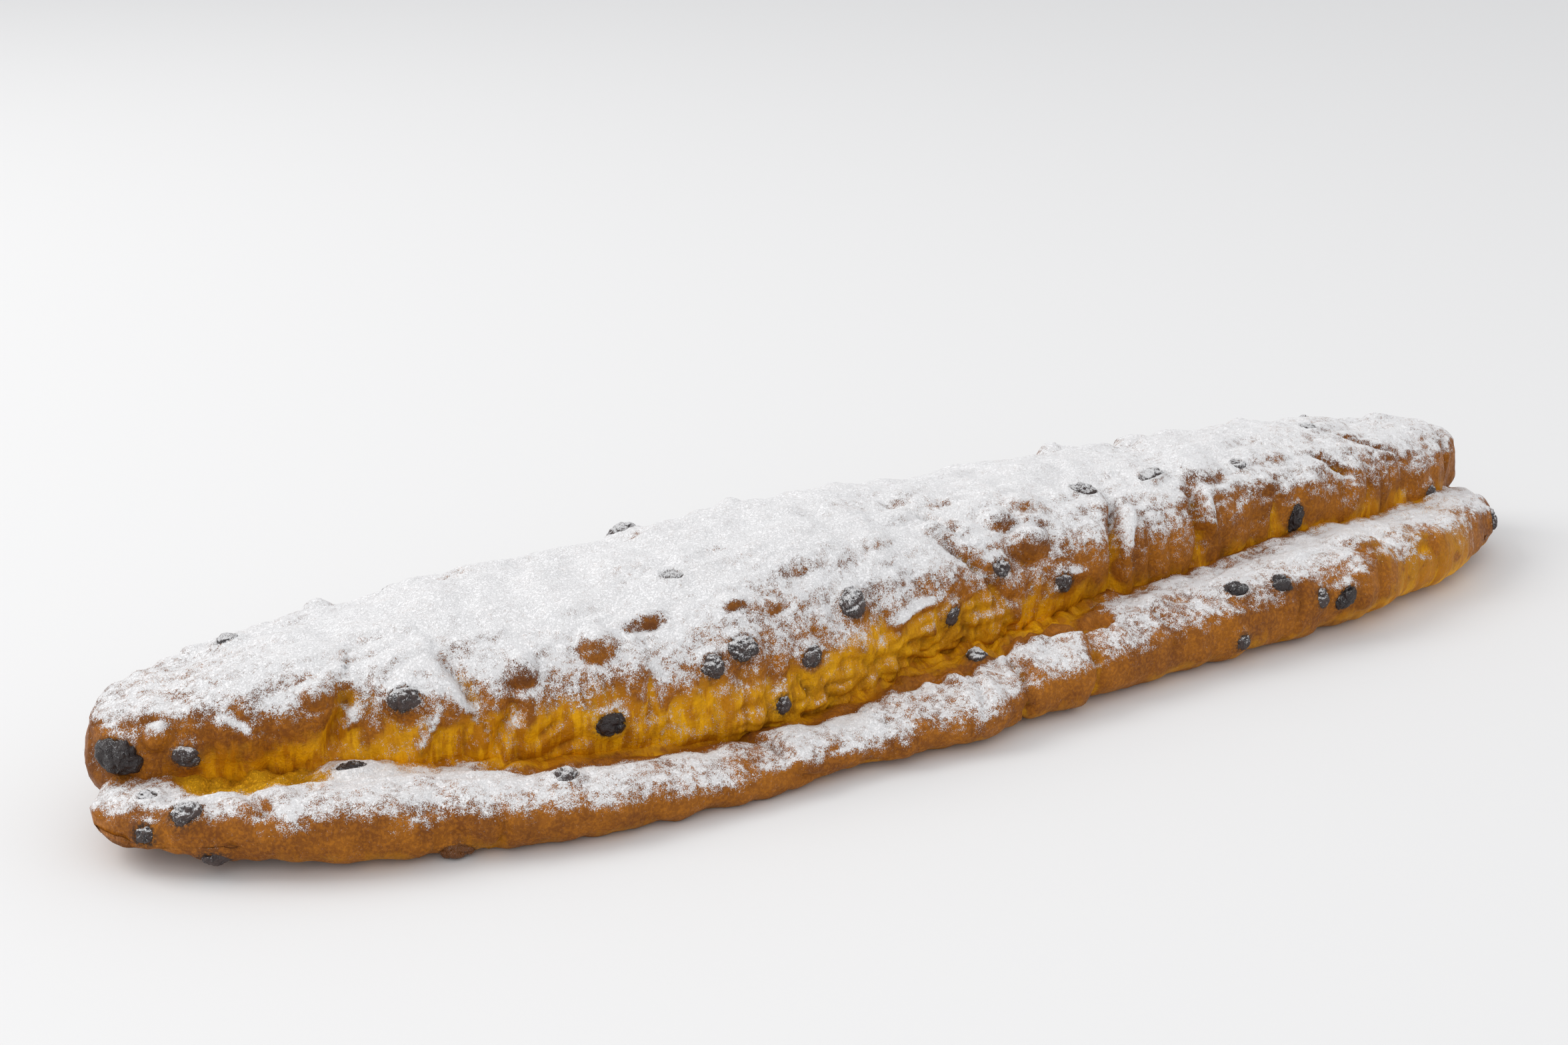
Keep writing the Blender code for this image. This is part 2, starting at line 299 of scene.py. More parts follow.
# Gathers and cracks: (x, angle) along each, then width, depth, and step of one side
FOLD_WRINKLES = (
    (((-0.262, 46), (-0.265, 24), (-0.268, 8), (-0.272, -14)), 0.0026, 0.0086, -0.0050),
    (((-0.312, 34), (-0.306, 20), (-0.298, 8)), 0.0018, 0.0022, -0.0020),
    (((-0.226, 54), (-0.223, 32), (-0.218, 10)), 0.0020, 0.0052, -0.0060),
    (((-0.231, 14), (-0.236, 2), (-0.240, -12)), 0.0017, -0.0032, 0.0),
    (((-0.223, 8), (-0.223, -14)), 0.0016, 0.0022, 0.0),
    (((-0.149, 46), (-0.151, 20), (-0.155, -2)), 0.0020, 0.0028, -0.0018),
    (((-0.205, 14), (-0.209, 0), (-0.213, -16)), 0.0024, 0.0066, 0.0034),
    (((-0.186, 6), (-0.197, -4)), 0.0016, 0.0026, 0.0018),
    (((-0.178, -2), (-0.190, -14)), 0.0016, 0.0024, 0.0014),
    (((-0.141, 12), (-0.147, -10)), 0.0016, 0.0022, 0.0012),
    (((-0.086, 10), (-0.078, -6)), 0.0018, 0.0026, 0.0016),
    (((0.104, 60), (0.096, 36), (0.090, 12), (0.093, -14)), 0.0028, 0.0092, 0.0046),
    (((0.006, 48), (0.017, 24), (0.023, 8), (0.020, -2)), 0.0022, 0.0056, 0.0042),
    (((-0.043, 34), (-0.039, 18), (-0.038, 4)), 0.0016, 0.0024, 0.0016),
    (((-0.020, 34), (-0.012, 16)), 0.0016, 0.0022, 0.0014),
    (((0.002, 82), (0.009, 64), (0.016, 46)), 0.0018, 0.0026, 0.0020),
    (((0.053, 48), (0.058, 32), (0.062, 16)), 0.0018, 0.0026, -0.0014),
    (((0.074, 20), (0.076, -8)), 0.0015, 0.0018, 0.0010),
    (((0.147, 52), (0.143, 26), (0.146, 0), (0.142, -12)), 0.0028, 0.0090, 0.0044),
    (((0.196, 14), (0.194, -10)), 0.0022, 0.0034, 0.0014),
    (((0.231, 56), (0.238, 38), (0.247, 20)), 0.0015, 0.0062, 0.0),
    (((0.262, 74), (0.275, 50), (0.284, 32)), 0.0013, 0.0044, 0.0016),
    (((0.262, 12), (0.256, -4)), 0.0018, 0.0030, 0.0016),
    (((0.337, 100), (0.337, 60), (0.331, 20), (0.327, -20)), 0.0026, 0.0060, -0.0020),
    (((-0.168, 130), (-0.160, 152), (-0.164, 176)), 0.0028, 0.0040, 0.0016),
    (((0.020, 128), (0.030, 150), (0.026, 180)), 0.0030, 0.0046, -0.0018),
    (((0.150, 120), (0.160, 146), (0.158, 172)), 0.0024, 0.0034, 0.0014),
    (((-0.270, 140), (-0.262, 165)), 0.0022, 0.0030, 0.0014),
    (((0.262, 150), (0.256, 180)), 0.0024, 0.0032, 0.0014),
)
# Thin folds of skin that stand up and catch sugar: (x, angle) along each, width and height
FOLD_FLAPS = (
    (((-0.265, 22), (-0.262, 8), (-0.268, -3)), 0.0020, 0.0034),
    (((-0.232, 10), (-0.236, 0), (-0.240, -8)), 0.0016, 0.0026),
    (((-0.225, 38), (-0.223, 22), (-0.219, 8)), 0.0018, 0.0032),
    (((-0.307, 28), (-0.302, 14), (-0.298, 0)), 0.0018, 0.0022),
    (((-0.208, 6), (-0.200, 2)), 0.0026, 0.0026),
    (((-0.036, 12), (-0.018, 16), (-0.008, 14)), 0.0024, 0.0028),
    (((0.050, -2), (0.062, 6), (0.072, 4)), 0.0022, 0.0028),
    (((0.106, 40), (0.100, 22), (0.096, 6)), 0.0018, 0.0024),
    (((0.150, 34), (0.148, 14), (0.152, 2)), 0.0018, 0.0026),
    (((-0.150, 30), (-0.146, 18)), 0.0018, 0.0020),
)
# Blisters over buried raisins: x, angle, radius, height, and how many times as long as wide
FOLD_BLISTERS = (
    (-0.330, 4, 0.0066, 0.0044, 0.8), (-0.274, 34, 0.0058, 0.0032, 1.0), (-0.198, 36, 0.0078, 0.0050, 0.9),
    (-0.167, 44, 0.0088, 0.0056, 1.0), (0.036, 56, 0.0075, 0.0052, 1.2), (0.045, 34, 0.0088, 0.0062, 1.2),
    (0.031, -4, 0.0060, 0.0034, 1.0), (0.030, 10, 0.0052, 0.0026, 1.0), (0.190, 34, 0.0060, 0.0026, 1.0),
    (-0.060, 128, 0.0080, 0.0040, 1.1), (0.120, 136, 0.0075, 0.0040, 1.0), (-0.250, 140, 0.0070, 0.0036, 1.0),
    (0.230, 128, 0.0070, 0.0034, 1.2), (-0.142, 52, 0.0050, 0.0028, 1.8), (-0.108, 50, 0.0045, 0.0024, 1.7),
    (-0.090, 44, 0.0045, 0.0026, 1.6), (0.006, 60, 0.0050, 0.0026, 2.2), (-0.010, 74, 0.0048, 0.0024, 2.4),
    (0.210, 62, 0.0050, 0.0018, 2.0), (-0.029, 62, 0.0060, 0.0022, 2.0), (-0.070, 62, 0.0060, 0.0020, 2.2),
)
# Long hollows where the skin sank and little sugar stayed: x, angle, radius, depth
FOLD_HOLLOWS = (
    (-0.108, 77, 0.0048, 0.0016), (-0.143, 76, 0.0044, 0.0014), (-0.147, 48, 0.0048, 0.0016),
    (-0.099, 82, 0.0036, 0.0014), (-0.088, 44, 0.0050, 0.0016), (-0.106, 44, 0.0040, 0.0012),
    (-0.022, 88, 0.0060, 0.0020), (0.002, 86, 0.0050, 0.0018), (0.012, 58, 0.0050, 0.0014),
    (0.050, 58, 0.0050, 0.0014), (0.016, 76, 0.0046, 0.0014), (0.205, 84, 0.0040, 0.0012),
    (-0.120, 104, 0.0050, 0.0018), (0.060, 104, 0.0050, 0.0018), (0.150, 112, 0.0050, 0.0016),
    (-0.200, 112, 0.0050, 0.0018), (0.108, 46, 0.0052, 0.0014), (0.158, 50, 0.0055, 0.0010),
)

fold_bm, base, normals, x, angle = layer_mesh(
    FOLD_RINGS, FOLD_SIDES, fold_place, FOLD_MIDDLE, FOLD_HALF, FOLD_SPREAD)
random = np.random.default_rng(7)


def fold_spot(x, angle):
    return spot(fold_place, FOLD_MIDDLE, FOLD_HALF, x, angle)


front = smooth_step(angle, -45, -15) * (1 - smooth_step(angle, 22, 46))
crown = smooth_step(angle, 26, 60) * (1 - smooth_step(angle, 140, 170))
torn = front * smooth_step(x, -0.135, -0.085) * (1 - smooth_step(x, 0.005, 0.040))
torn = torn * (1 - smooth_step(angle, 0, 18))
relief = 0.0017 * noise_at(base, 0.020, 3.1) + 0.0009 * noise_at(base, 0.009, 5.2)
relief += 0.00022 * noise_at(base, 0.0040, 8.8)
relief += crown * 0.0024 * (ridges_at(base, 0.014, 2.4, (2.2, 1, 1)) - 0.5)
relief += front * 0.0028 * (ridges_at(base, 0.015, 6.4, (0.8, 2.8, 2.8)) - 0.5)
relief += front * 0.00050 * noise_at(base, 0.0042, 9.7, (0.7, 5, 5))
relief += smooth_step(angle, 120, 150) * 0.0024 * (ridges_at(base, 0.018, 7.2, (1, 2.4, 2.4)) - 0.5)
relief += torn * 0.0044 * (ridges_at(base, 0.013, 1.9, (1.8, 1, 0.8)) - 0.45)
relief += torn * 0.0030 * (ridges_at(base, 0.0065, 4.9, (1.4, 1, 1)) - 0.45)
groove = smooth_step(-angle, 20, 38) * (1 - smooth_step(-angle, 60, 80)) * smooth_step(x, -0.325, -0.295)
relief -= 0.0030 * groove
for route, width, depth, step in FOLD_WRINKLES:
    relief += wrinkle(base, normals, [fold_spot(*place) for place in route], width, depth, step)
flaps = np.zeros(len(base))
for route, width, height in FOLD_FLAPS:
    flap = -wrinkle(base, normals, [fold_spot(*place) for place in route], width, 1.0)
    relief += height * flap
    flaps = np.maximum(flaps, flap)
for place_x, place_angle, radius, height, stretch in FOLD_BLISTERS:
    relief += dome(base, fold_spot(place_x, place_angle), radius, height, stretch)
bare = np.zeros(len(base))
for place_x, place_angle, radius, depth in FOLD_HOLLOWS:
    hollow = dome(base, fold_spot(place_x, place_angle), radius, -depth, 2.2)
    relief += hollow
    bare = np.maximum(bare, np.clip(-1.4 * hollow / depth, 0, 1))
for _ in range(FOLD_PIMPLES):
    centre = fold_spot(random.uniform(-0.33, 0.33), random.uniform(25, 165))
    radius = random.uniform(0.0026, 0.0060)
    relief += dome(base, centre, radius, random.uniform(0.10, 0.28) * radius, random.uniform(0.9, 2.0))
fold_away = away_from_raisins(base)
relief = calmed(relief, fold_away)
fold_points = full_end(base + normals * relief[:, None], fold_away, FOLD_FULLNESS)
fold_normals = move_points(fold_bm, fold_points)
fold_x, fold_angle, fold_bare, fold_torn, fold_relief = x, angle, bare, torn, relief

# ---------------------------------------------------------------- the lip
# The lower layer of dough. It lies flat on the tin, and its front edge is a round lip, pinched
# into gathers near its middle, with torn yellow crumb where the fold was pressed onto it.
LIP_RINGS, LIP_SIDES = 470, 190
LIP_PIMPLES = 60
LIP_FULLNESS = 0.0010

# Gathers and pinches: (x, angle) along each, then width, depth, and step of one side
LIP_WRINKLES = (
    (((0.016, 80), (0.013, 40), (0.009, -10), (0.010, -50)), 0.0026, 0.0066, 0.0026),
    (((0.054, 78), (0.051, 30), (0.046, -16), (0.046, -50)), 0.0026, 0.0058, -0.0024),
    (((-0.007, 70), (-0.012, 42), (-0.016, 16)), 0.0020, 0.0034, 0.0016),
    (((0.172, 34), (0.170, 10), (0.165, -20)), 0.0018, 0.0028, 0.0016),
    (((0.226, 60), (0.222, 20), (0.219, -26)), 0.0022, 0.0026, -0.0012),
    (((-0.306, 76), (-0.303, 48), (-0.306, 24)), 0.0022, 0.0036, 0.0018),
    (((-0.252, 14), (-0.250, -6), (-0.252, -34)), 0.0014, -0.0016, 0.0014),
    (((-0.224, 20), (-0.222, -2), (-0.226, -30)), 0.0016, 0.0022, 0.0014),
    (((-0.104, 2), (-0.094, -12)), 0.0018, 0.0036, 0.0016),
    (((-0.116, 76), (-0.108, 52), (-0.106, 28)), 0.0018, 0.0028, 0.0016),
    (((-0.065, 70), (-0.058, 40), (-0.060, 0)), 0.0018, 0.0024, 0.0012),
    (((0.092, 70), (0.096, 40), (0.093, 0)), 0.0018, 0.0024, 0.0012),
    (((0.262, 50), (0.266, 30)), 0.0020, 0.0024, 0.0010),
)
# Hollows: x, angle, radius, depth
LIP_HOLLOWS = (
    (0.261, 24, 0.0050, 0.0030), (-0.092, 70, 0.0050, 0.0018), (0.036, 70, 0.0060, 0.0024),
    (0.066, 66, 0.0056, 0.0020), (-0.286, 70, 0.0056, 0.0026), (0.112, 62, 0.0050, 0.0018),
    (-0.300, 62, 0.0050, 0.0018), (-0.150, 72, 0.0060, 0.0016), (-0.216, 74, 0.0070, 0.0018),
)

lip_bm, base, normals, x, angle = layer_mesh(
    LIP_RINGS, LIP_SIDES, lower_place, LAYER_MIDDLE, LAYER_HALF, LOWER_SPREAD)


def lip_spot(x, angle):
    return spot(lower_place, LAYER_MIDDLE, LAYER_HALF, x, angle)


face = smooth_step(angle, -60, -30) * (1 - smooth_step(angle, 50, 76))
shelf = smooth_step(angle, 44, 66) * (1 - smooth_step(angle, 100, 120))
crumb = smooth_step(angle, 75, 81) * smooth_step(x, -0.332, -0.312) * (1 - smooth_step(x, -0.288, -0.268))
lip_torn = shelf * smooth_step(x, -0.070, -0.040) * (1 - smooth_step(x, 0.070, 0.100))
relief = 0.0013 * noise_at(base, 0.019, 12.6) + 0.0006 * noise_at(base, 0.008, 7.7)
relief += 0.00022 * noise_at(base, 0.0038, 3.3)
relief += face * 0.0016 * (ridges_at(base, 0.020, 4.3, (0.8, 2.4, 2.4)) - 0.5)
relief += face * 0.00030 * noise_at(base, 0.0040, 2.7, (0.8, 5, 5))
relief += shelf * 0.0024 * (ridges_at(base, 0.012, 8.1, (1.8, 1, 1)) - 0.5)
relief += (lip_torn + crumb) * 0.0032 * (ridges_at(base, 0.009, 5.5) - 0.45)
relief += (lip_torn + 1.6 * crumb) * 0.0010 * noise_at(base, 0.0045, 6.6) - 0.0016 * crumb
low_front = smooth_step(x, -0.290, -0.220) * (1 - smooth_step(x, -0.130, -0.060))
relief += 0.0018 * low_front * (1 - smooth_step(angle, 0, 40))
for route, width, depth, step in LIP_WRINKLES:
    relief += wrinkle(base, normals, [lip_spot(*place) for place in route], width, depth, step)
bare = np.zeros(len(base))
for place_x, place_angle, radius, depth in LIP_HOLLOWS:
    hollow = dome(base, lip_spot(place_x, place_angle), radius, -depth, 1.6)
    relief += hollow
    bare = np.maximum(bare, np.clip(-1.4 * hollow / depth, 0, 1))
for _ in range(LIP_PIMPLES):
    centre = lip_spot(random.uniform(-0.33, 0.33), random.uniform(-20, 80))
    radius = random.uniform(0.0028, 0.0055)
    relief += dome(base, centre, radius, random.uniform(0.12, 0.28) * radius)
lip_away = away_from_raisins(base)
relief = calmed(relief, lip_away)
lip_points = full_end(base + normals * relief[:, None], lip_away, LIP_FULLNESS)
lip_normals = move_points(lip_bm, lip_points)
lip_x, lip_angle, lip_bare, lip_crumb, lip_relief = x, angle, bare, crumb, relief

# ---------------------------------------------------------------- icing sugar that fell from above
# Sugar sifted onto the warm loaf lies where the crust faces up and nothing shelters it. How
# much fell on a point comes from rays sent up from it: the loaf and its raisins stop some.
SIFTED_FROM = [Vector(way).normalized() for way in (
    (0, 0, 1), (0.45, 0, 1), (-0.45, 0, 1), (0, 0.45, 1), (0, -0.45, 1))]
SHELTER_REACH = 0.06
RAY_START = 0.0012
FACES_DOWN = -0.2

corners, faces = [], []
for bm in (fold_bm, lip_bm, *raisin_bms.values()):
    bm.verts.index_update()
    faces += [[len(corners) + vertex.index for vertex in face.verts] for face in bm.faces]
    corners += [vertex.co.copy() for vertex in bm.verts]
sheltering = BVHTree.FromPolygons(corners, faces)


def sugar_on(points, normals):
    """How much of the falling sugar each point caught, from 0 to 1."""
    caught = np.zeros(len(points))
    for index, (point, normal) in enumerate(zip(points.tolist(), normals.tolist())):
        if normal[2] < FACES_DOWN:
            continue
        normal = Vector(normal)
        start = Vector(point) + normal * RAY_START
        for way in SIFTED_FROM:
            slope = normal.dot(way)
            if slope > 0 and not sheltering.ray_cast(start, way, SHELTER_REACH)[0]:
                caught[index] += slope
    return caught / sum(way.z for way in SIFTED_FROM)


def keep_values(mesh, **values):
    """Stores a number for each point of a mesh under a name, for its material."""
    for name, numbers in values.items():
        attribute = mesh.attributes.new(name, "FLOAT", "POINT")
        attribute.data.foreach_set("value", np.asarray(numbers, np.float32))


def finish_piece(name, bm, material, nodes):
    """A piece of the stollen from its bmesh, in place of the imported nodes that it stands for."""
    mesh = bpy.data.meshes.new(name)
    bm.to_mesh(mesh)
    bm.free()
    mesh.shade_smooth()
    mesh.materials.append(material)
    piece = bpy.data.objects.new(name, mesh)
    bpy.context.scene.collection.objects.link(piece)
    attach(piece, "root")
    if nodes:
        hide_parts(*nodes)
    return piece


SUGAR_DEPTH = 0.0007
BLOWN_OFF = 0.02


def sugared(bm, points, normals, more, lowest):
    """Catches sugar on a layer, swells it by the depth that lies there, and rests it on the tin."""
    caught = sugar_on(points, normals)
    for _ in range(2):
        caught = 0.5 * caught + 0.5 * neighbour_mean(bm, caught)
    caught = np.clip((caught + more - BLOWN_OFF) / (1 - BLOWN_OFF), 0, 1)
    lumps = 0.5 + 0.5 * noise_at(points, 0.0034, 31.0) + 0.3 * noise_at(points, 0.0018, 37.0)
    points = points + np.array((0, 0, 1)) * (SUGAR_DEPTH * caught * (0.4 + lumps))[:, None]
    points[:, 2] = np.maximum(points[:, 2], lowest)
    move_points(bm, points)
    return caught, points


fold_more = (
    0.06 - 0.22 * smooth_step(-fold_x, 0.220, 0.345) - 0.14 * smooth_step(fold_x, 0.000, 0.300)
    - 0.20 * fold_bare * (1 + 1.3 * noise_at(fold_points, 0.0040, 33.0))
    + 0.13 * noise_at(fold_points, 0.040, 17.0) + 0.10 * noise_at(fold_points, 0.014, 19.0)
    - 0.20 * fold_torn + 0.55 * flaps * smooth_step(fold_normals[:, 2], -0.25, 0.15))
fold_sugar, fold_points = sugared(fold_bm, fold_points, fold_normals, fold_more, 0.001)
by_crease = smooth_step(lip_angle + 6 * noise_at(lip_points, 0.016, 27.0), 60, 72)
lip_more = (
    -0.15 - 0.16 * smooth_step(lip_x, -0.08, 0.120) - 0.16 * lip_bare - 0.8 * lip_crumb
    + 0.30 * by_crease * (1 - smooth_step(lip_x, -0.235, -0.210))
    + 0.25 * by_crease * smooth_step(lip_x, 0.060, 0.110) - 0.22 * smooth_step(-lip_x, 0.250, 0.330)
    - 0.95 * by_crease * smooth_step(lip_x, -0.225, -0.195) * (1 - smooth_step(lip_x, 0.050, 0.090))
    + 0.34 * noise_at(lip_points, 0.026, 23.0) + 0.22 * noise_at(lip_points, 0.010, 29.0))
lip_sugar, lip_points = sugared(lip_bm, lip_points, lip_normals, lip_more, 0.0)


class Shade:
    """A shader socket that Python's arithmetic works on."""

    def __init__(self, tree, socket=None):
        self.tree, self.socket = tree, socket

    def node(self, kind, settings, inputs, output=0):
        """A node with its settings, then its inputs, and the socket that comes out of it."""
        made = self.tree.nodes.new(kind)
        for name, value in settings.items():
            setattr(made, name, value)
        for name, value in inputs.items():
            if isinstance(value, Shade):
                self.tree.links.new(value.socket, made.inputs[name])
            else:
                made.inputs[name].default_value = value
        return Shade(self.tree, made.outputs[output])

    def math(self, operation, *values, clamp=False):
        settings = {"operation": operation, "use_clamp": clamp}
        return self.node("ShaderNodeMath", settings, dict(enumerate(values)))

    def clamped(self):
        return self.math("ADD", self, 0.0, clamp=True)

    def __add__(self, other):
        return self.math("ADD", self, other)

    def __radd__(self, other):
        return self.math("ADD", other, self)

    def __sub__(self, other):
        return self.math("SUBTRACT", self, other)

    def __rsub__(self, other):
        return self.math("SUBTRACT", other, self)

    def __mul__(self, other):
        return self.math("MULTIPLY", self, other)

    def __rmul__(self, other):
        return self.math("MULTIPLY", other, self)

    def step(self, low, high):
        """0 below low, 1 above high, smooth between."""
        settings = {"interpolation_type": "SMOOTHSTEP"}
        return self.node("ShaderNodeMapRange", settings, {"Value": self, "From Min": low, "From Max": high})

    def noise(self, scale, detail=2.0, roughness=0.5, place=None):
        """Noise with a number of waves to the metre, spread out evenly from 0 to 1."""
        place = place or self.node("ShaderNodeTexCoord", {}, {}, "Object")
        inputs = {"Vector": place, "Scale": scale, "Detail": detail, "Roughness": roughness}
        reach = 0.225 - 0.026 * detail
        return self.node("ShaderNodeTexNoise", {}, inputs, "Fac").step(0.5 - reach, 0.5 + reach)

    def stretched(self, x, y, z):
        place = self.node("ShaderNodeTexCoord", {}, {}, "Object")
        return self.node("ShaderNodeMapping", {"vector_type": "POINT"}, {"Vector": place, "Scale": (x, y, z)})

    def value(self, name):
        return self.node("ShaderNodeAttribute", {"attribute_name": name}, {}, "Fac")

    def blend(self, share, first, second):
        """One colour turning into another."""
        first, second = (c if isinstance(c, Shade) else (*c, 1) for c in (first, second))
        return self.node("ShaderNodeMix", {"data_type": "RGBA"}, {0: share, 6: first, 7: second}, 2)

    def bump(self, height, distance, strength=1.0):
        inputs = {"Height": height, "Distance": distance, "Strength": strength}
        return self.node("ShaderNodeBump", {}, inputs)


def new_material(name, finish):
    """A material whose Principled BSDF gets its sockets from finish, a function of the node tree."""
    material = bpy.data.materials.new(name)
    material.use_nodes = True
    tree = material.node_tree
    shader = tree.nodes["Principled BSDF"]
    for socket, value in finish(Shade(tree)).items():
        if isinstance(value, Shade):
            tree.links.new(value.socket, shader.inputs[socket])
        else:
            shader.inputs[socket].default_value = value
    return material


SUGAR_WHITE = (0.94, 0.94, 0.95)


def sifted(shade, caught):
    """The cover of icing sugar: whole where much fell, thinning into powder and single specks."""
    clots = shade.noise(260, 5.0, 0.75)
    powder = shade.noise(2300, 2.0, 0.60)
    missed = clots * 0.45 + powder * 0.55
    return ((caught * 1.22 - missed - 0.16) * 2.3 + 0.5).clamped()


BROWN, DEEP_BROWN = (0.430, 0.150, 0.010), (0.185, 0.056, 0.007)
GOLD, DEEP_GOLD = (0.900, 0.440, 0.003), (0.500, 0.185, 0.002)
CRUMB_YELLOW = (0.920, 0.450, 0.010)
# Deep brown for toasted crust, also used as painted shade in hollows and under the fold's belly
TOAST_AND_SHADE_BROWN = (0.110, 0.036, 0.012)
# Near-black that the dough is given right beside the raisins
RAISIN_DARK = (0.050, 0.030, 0.020)
CRUST_BUMP = 0.00075


def baked_dough(shade):
    """Crust from yellow to deep brown, with painted shade in its hollows and under the fold, and sugar on it.
    """
    mottle = shade.noise(60, 4.0, 0.6)
    fine = shade.noise(700, 4.0, 0.65)
    fibres = shade.noise(300, 4.0, 0.6, shade.stretched(1, 0.16, 0.16))
    brown = shade.blend(mottle * 0.5 + fine * 0.5, BROWN, DEEP_BROWN)
    streaks = ((fibres * 0.5 + mottle * 0.5 - 0.5) * 1.7 + 0.5).clamped()
    gold = shade.blend(streaks, GOLD, DEEP_GOLD)
    gold = shade.blend(shade.value("crumb"), gold, CRUMB_YELLOW)
    yellow = (shade.value("stretched") + (mottle - 0.5) * 0.45 + (fibres - 0.5) * 0.25).step(0.22, 0.82)
    crust = shade.blend(yellow, brown, gold)
    # Darkened where the crust is toasted, and by painted shade in hollows and under the fold
    scorched = (shade.value("scorched") * (0.6 + mottle * 0.5)).clamped()
    crust = shade.blend(scorched, crust, TOAST_AND_SHADE_BROWN)
    # The dough turns near-black right beside the raisins
    crust = shade.blend((shade.value("stain") * (0.3 + fine)).clamped(), crust, RAISIN_DARK)
    cover = sifted(shade, shade.value("sugar"))
    lumps = shade.noise(640, 5.0, 0.72)
    grains = shade.noise(2400, 2.0, 0.6)
    skin = fine * 0.26 + fibres * 0.24 + shade.value("crumb") * lumps * 0.8
    height = cover * (0.30 + 0.34 * lumps + 0.10 * grains) + (1 - cover) * skin
    return {
        "Base Color": shade.blend(cover * 0.96, crust, SUGAR_WHITE),
        "Roughness": 0.40 + fine * 0.14 + cover * 0.40,
        "Normal": shade.bump(height, CRUST_BUMP, 0.9),
        "Specular IOR Level": 0.16,
    }


crust = new_material("baked dough with icing sugar", baked_dough)


RAISIN_DARK_REACH = 0.0011
SHARP_BEND = 0.00035


def curvature(bm, points, normals):
    """Above 0 on ridges and below 0 in hollows, from each point's neighbours."""
    return np.einsum("ij,ij->i", points - neighbour_mean(bm, points), normals)


def stained(away):
    """How dark the dough is made beside each raisin, falling off with distance from its skin."""
    return 0.85 * np.exp(-np.clip(away, 0, 1) / RAISIN_DARK_REACH)


bend = curvature(fold_bm, fold_points, fold_normals) / SHARP_BEND
low, high = smooth_step(-fold_relief, 0.0010, 0.0042), smooth_step(fold_relief, 0.0006, 0.0036)
wander = noise_at(fold_points, 0.016, 51.0, (1, 2, 2)) + 0.6 * noise_at(fold_points, 0.007, 53.0)
gold_top = -7 + 21 * smooth_step(fold_x, -0.320, -0.170) * (1 - 1.1 * smooth_step(fold_x, -0.030, 0.110))
stretched = 1 - smooth_step(fold_angle, gold_top - 14 + 9 * wander, gold_top + 12 + 9 * wander)
stretched = stretched * smooth_step(fold_x, -0.345, -0.300) + 0.7 * low * (fold_angle < 40)
stretched *= (1 - smooth_step(fold_angle, 168, 190)) * (1 - 0.45 * high)
stretched *= 1 - 0.85 * smooth_step(fold_x, 0.315, 0.335)
# Darker crust: toasted on ridges and the upper front, plus painted shade in small and sunk hollows, in torn
# recesses and under the fold's belly over the crease
scorched = 0.10 * fold_bare + 0.35 * high * smooth_step(fold_angle, 4, 24) + 0.25 * np.clip(-bend, 0, 1)
scorched += 0.45 * smooth_step(fold_angle, 14, 40) + 0.35 * low * fold_torn
scorched += 0.60 * (1 - smooth_step(fold_angle, -30, -14))
fold = finish_piece("fold", fold_bm, crust, ["loaf"])
keep_values(
    fold.data, sugar=fold_sugar, stretched=np.clip(stretched, 0, 1), scorched=np.clip(scorched, 0, 1),
    stain=stained(fold_away), crumb=0.35 * fold_torn)

bend = curvature(lip_bm, lip_points, lip_normals) / SHARP_BEND
low, high = smooth_step(-lip_relief, 0.0010, 0.0040), smooth_step(lip_relief, 0.0006, 0.0034)
wander = noise_at(lip_points, 0.018, 61.0) + 0.6 * noise_at(lip_points, 0.008, 63.0)
stretched = smooth_step(lip_angle + 6 * wander, 66, 84)
stretched = stretched * (1 - 0.7 * smooth_step(lip_x, 0.040, 0.100)) + 0.5 * low
stretched = stretched * smooth_step(lip_x, -0.335, -0.310) * (1 - smooth_step(lip_angle, 96, 120))
stretched += lip_crumb
stretched += 0.45 * (1 - smooth_step(lip_angle + 8 * wander, -30, 0)) * smooth_step(lip_x, -0.320, -0.270)
stretched += 0.45 * smooth_step(lip_x, 0.190, 0.240) * (1 - smooth_step(lip_x, 0.290, 0.330))
stretched *= 1 - 0.5 * high
# Darker crust: toasted on ridges and the upper face, plus painted shade in small hollows
scorched = 0.22 * np.clip(-bend, 0, 1) + 0.22 * high + 0.10 * smooth_step(lip_angle, 10, 40)
lip = finish_piece("lip", lip_bm, crust, ["loaf"])
keep_values(
    lip.data, sugar=lip_sugar, stretched=np.clip(stretched, 0, 1), scorched=np.clip(scorched, 0, 1),
    stain=stained(lip_away), crumb=np.clip(1.3 * lip_crumb, 0, 1))

# ---------------------------------------------------------------- the raisins
# Dark sun-dried grapes, shrunk into deep wrinkles, bedded in the dough where it tore or parted
# around them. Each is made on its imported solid: divided finer, then creased.
RAISIN_CREASES = 0.0008
RAISIN_DENTS = 0.0010
RAISIN_BUMP = 0.0005
BARE_SKIN, BLOOM_GREY = (0.012, 0.008, 0.009), (0.085, 0.058, 0.052)
AMBER_SKIN = (0.160, 0.052, 0.006)


